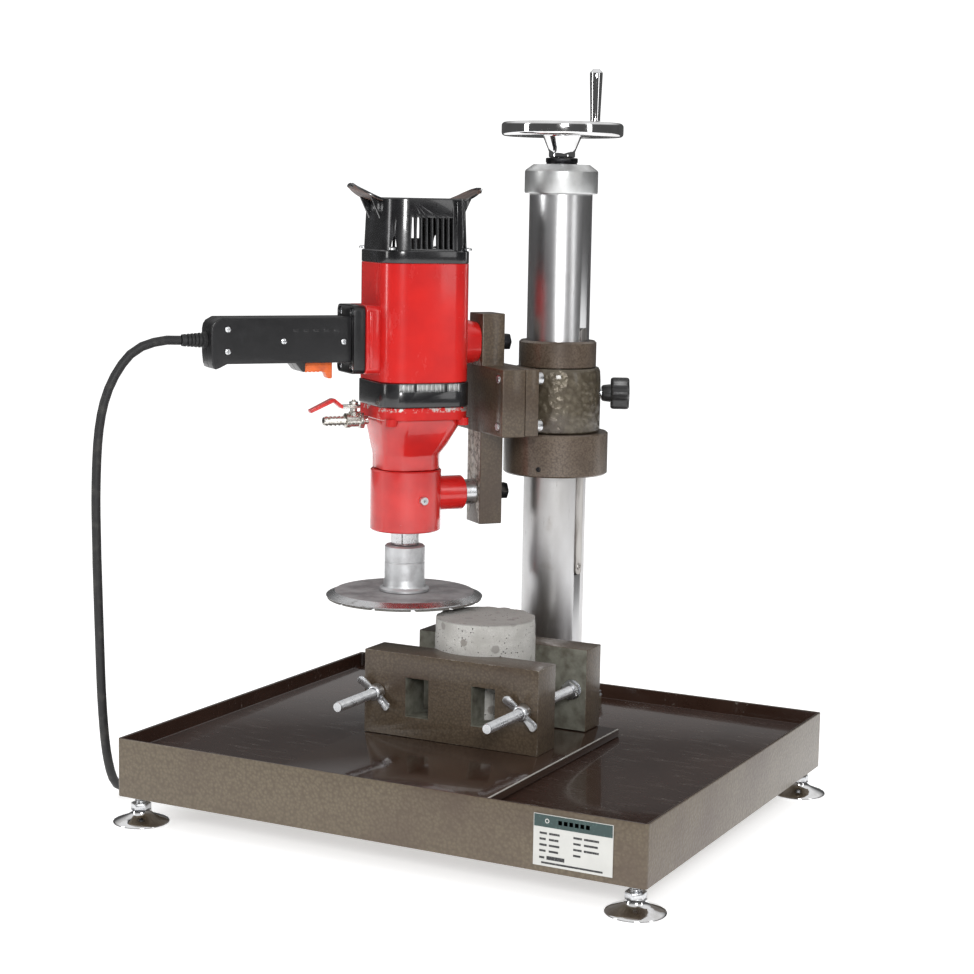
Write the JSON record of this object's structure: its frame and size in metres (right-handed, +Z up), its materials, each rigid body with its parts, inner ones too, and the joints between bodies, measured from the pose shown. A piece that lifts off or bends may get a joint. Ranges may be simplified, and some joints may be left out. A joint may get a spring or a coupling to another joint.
{
  "type": "core drill rig",
  "caption": "Bench rig with a drill motor on a swing bracket, screw-fed along a column by a crank handwheel above a footed tray, where a rod clamp holds a core under a grinding disc.",
  "frame": {"origin": "centre of the tray's footprint, on the surface that the feet stand on", "axes": "+Z up along the column; +X to the operator's right and +Y away from the operator, towards the column"},
  "size_m": [0.637, 0.6177, 0.7332],
  "materials": {
    "hammertone_paint": "hammered gloss enamel",
    "dark_gloss_paint": "gloss enamel",
    "printed_label": "gloss laminated plate",
    "zinc_plate": "bright zinc plate",
    "concrete": "sawn and ground concrete",
    "ground_steel": "ground and hard chromed",
    "machined_aluminium": "fine turned",
    "cord_rubber": "matt",
    "black_steel": "black oxide",
    "chrome": "polished",
    "nickel_brass": "nickel plated",
    "red_housing": "gloss",
    "black_plastic": "satin moulded",
    "copper_winding": "enamelled wire on laminated steel",
    "turned_steel": "turned",
    "disc_paint": "lacquered steel body, bare rim",
    "orange_plastic": "moulded",
    "red_lever_grip": "dipped vinyl"
  },
  "bodies": {
    "frame": {"tray": "hammertone_paint", "mounting_plate": "dark_gloss_paint", "rating_plate": "printed_label", "rear_jaw": "hammertone_paint", "clamp_rod_left": "zinc_plate", "clamp_rod_right": "zinc_plate", "rod_nut_left": "zinc_plate", "rod_nut_right": "zinc_plate", "core_specimen": "concrete", "column_base": "hammertone_paint", "column_tube": "ground_steel", "column_key": "ground_steel", "top_cap": "machined_aluminium", "power_cord": "cord_rubber", "cord_coil": "cord_rubber", "plug": "cord_rubber"},
    "handwheel": {"lead_screw": "ground_steel", "lock_nut": "black_steel", "handwheel": "chrome"},
    "crank_handle": {"crank_handle": "chrome"},
    "carriage": {"carriage_sleeve": "hammertone_paint", "upper_collar": "hammertone_paint", "feed_nut": "nickel_brass"},
    "swing_head": {"swing_casting": "hammertone_paint", "bracket": "hammertone_paint", "bracket_bolt_upper": "black_steel", "bracket_bolt_lower": "black_steel", "motor_housing": "red_housing", "rear_cap": "black_plastic", "stator": "copper_winding", "fan_band": "black_plastic", "gearbox_housing": "red_housing", "spindle_housing": "red_housing", "grip_flange": "black_plastic", "grip_shell_left": "black_plastic", "grip_shell_right": "black_plastic", "switch_block": "black_plastic", "cord_boot": "cord_rubber", "water_valve": "nickel_brass"},
    "lock_knob": {"lock_knob": "black_plastic"},
    "armature": {"armature": "turned_steel", "cooling_fan": "machined_aluminium"},
    "lay_shaft": {"lay_shaft_gears": "turned_steel"},
    "spindle": {"spindle_gear": "turned_steel", "spindle": "turned_steel", "disc_hub": "machined_aluminium", "grinding_disc": "disc_paint"},
    "trigger": {"trigger": "orange_plastic"},
    "valve_lever": {"valve_lever": "red_lever_grip"},
    "front_jaw": {"front_jaw": "hammertone_paint"},
    "wing_nut_left": {"wing_nut_left": "zinc_plate"},
    "wing_nut_right": {"wing_nut_right": "zinc_plate"},
    "foot_front_left": {"foot_disc_front_left": "chrome", "foot_stud_front_left": "zinc_plate"},
    "foot_front_right": {"foot_disc_front_right": "chrome", "foot_stud_front_right": "zinc_plate"},
    "foot_back_left": {"foot_disc_back_left": "chrome", "foot_stud_back_left": "zinc_plate"},
    "foot_back_right": {"foot_disc_back_right": "chrome", "foot_stud_back_right": "zinc_plate"}
  },
  "joints": [
    {"name": "handwheel_turn", "type": "hinge", "parent": "frame", "child": "handwheel", "pos_m": [-0.005, 0.166, 0.6667], "axis": [0, 0, 1], "range_deg": [-360, 9000], "deforming": ["power_cord"]},
    {"name": "crank_handle_spin", "type": "hinge", "parent": "handwheel", "child": "crank_handle", "pos_m": [0.04312, 0.14041, 0.7072], "axis": [0, 0, 1], "continuous": true},
    {"name": "carriage_feed", "type": "slide", "parent": "frame", "child": "carriage", "axis": [0, 0, 1], "range_m": [-0.004, 0.1], "deforming": ["power_cord"]},
    {"name": "head_swing", "type": "hinge", "parent": "carriage", "child": "swing_head", "pos_m": [-0.005, 0.166, 0.3975], "axis": [0, 0, 1], "range_deg": [-20, 60], "deforming": ["power_cord"]},
    {"name": "lock_knob_turn", "type": "hinge", "parent": "swing_head", "child": "lock_knob", "pos_m": [0.03617, 0.18608, 0.404], "axis": [0.8988, 0.4384, 0], "range_deg": [-180, 360]},
    {"name": "spindle_spin", "type": "hinge", "parent": "swing_head", "child": "spindle", "pos_m": [-0.11073, 0.03544, 0.24], "axis": [0, 0, 1], "continuous": true},
    {"name": "lay_shaft_spin", "type": "hinge", "parent": "swing_head", "child": "lay_shaft", "pos_m": [-0.08723, 0.03491, 0.36], "axis": [0, 0, 1], "continuous": true},
    {"name": "armature_spin", "type": "hinge", "parent": "swing_head", "child": "armature", "pos_m": [-0.10632, 0.04088, 0.48], "axis": [0, 0, 1], "continuous": true},
    {"name": "trigger_pull", "type": "slide", "parent": "swing_head", "child": "trigger", "axis": [0, 0, 1], "range_m": [0, 0.005], "stiffness_N_per_m": 900, "springref_m": -0.003},
    {"name": "valve_lever_turn", "type": "hinge", "parent": "swing_head", "child": "valve_lever", "pos_m": [-0.1466, -0.00886, 0.3925], "axis": [0, 0, 1], "range_deg": [0, 90]},
    {"name": "front_jaw_slide", "type": "slide", "parent": "frame", "child": "front_jaw", "axis": [0, 1, 0], "range_m": [-0.045, 0]},
    {"name": "wing_nut_left_turn", "type": "hinge", "parent": "front_jaw", "child": "wing_nut_left", "pos_m": [-0.085, -0.0608, 0.1203], "axis": [0, 1, 0], "range_deg": [-1080, 1080]},
    {"name": "wing_nut_right_turn", "type": "hinge", "parent": "front_jaw", "child": "wing_nut_right", "pos_m": [0.075, -0.0608, 0.1203], "axis": [0, 1, 0], "range_deg": [-1080, 1080]},
    {"name": "foot_front_left_height", "type": "slide", "parent": "frame", "child": "foot_front_left", "axis": [0, 0, 1], "range_m": [-0.006, 0.006]},
    {"name": "foot_front_right_height", "type": "slide", "parent": "frame", "child": "foot_front_right", "axis": [0, 0, 1], "range_m": [-0.006, 0.006]},
    {"name": "foot_back_left_height", "type": "slide", "parent": "frame", "child": "foot_back_left", "axis": [0, 0, 1], "range_m": [-0.006, 0.006]},
    {"name": "foot_back_right_height", "type": "slide", "parent": "frame", "child": "foot_back_right", "axis": [0, 0, 1], "range_m": [-0.006, 0.006]}
  ],
  "couplings": [
    {"joint": "carriage_feed", "follows": "handwheel_turn", "m_per_rad": 0.00063662},
    {"joint": "lay_shaft_spin", "follows": "spindle_spin", "ratio": -2.6154},
    {"joint": "armature_spin", "follows": "spindle_spin", "ratio": 6.8951}
  ]
}
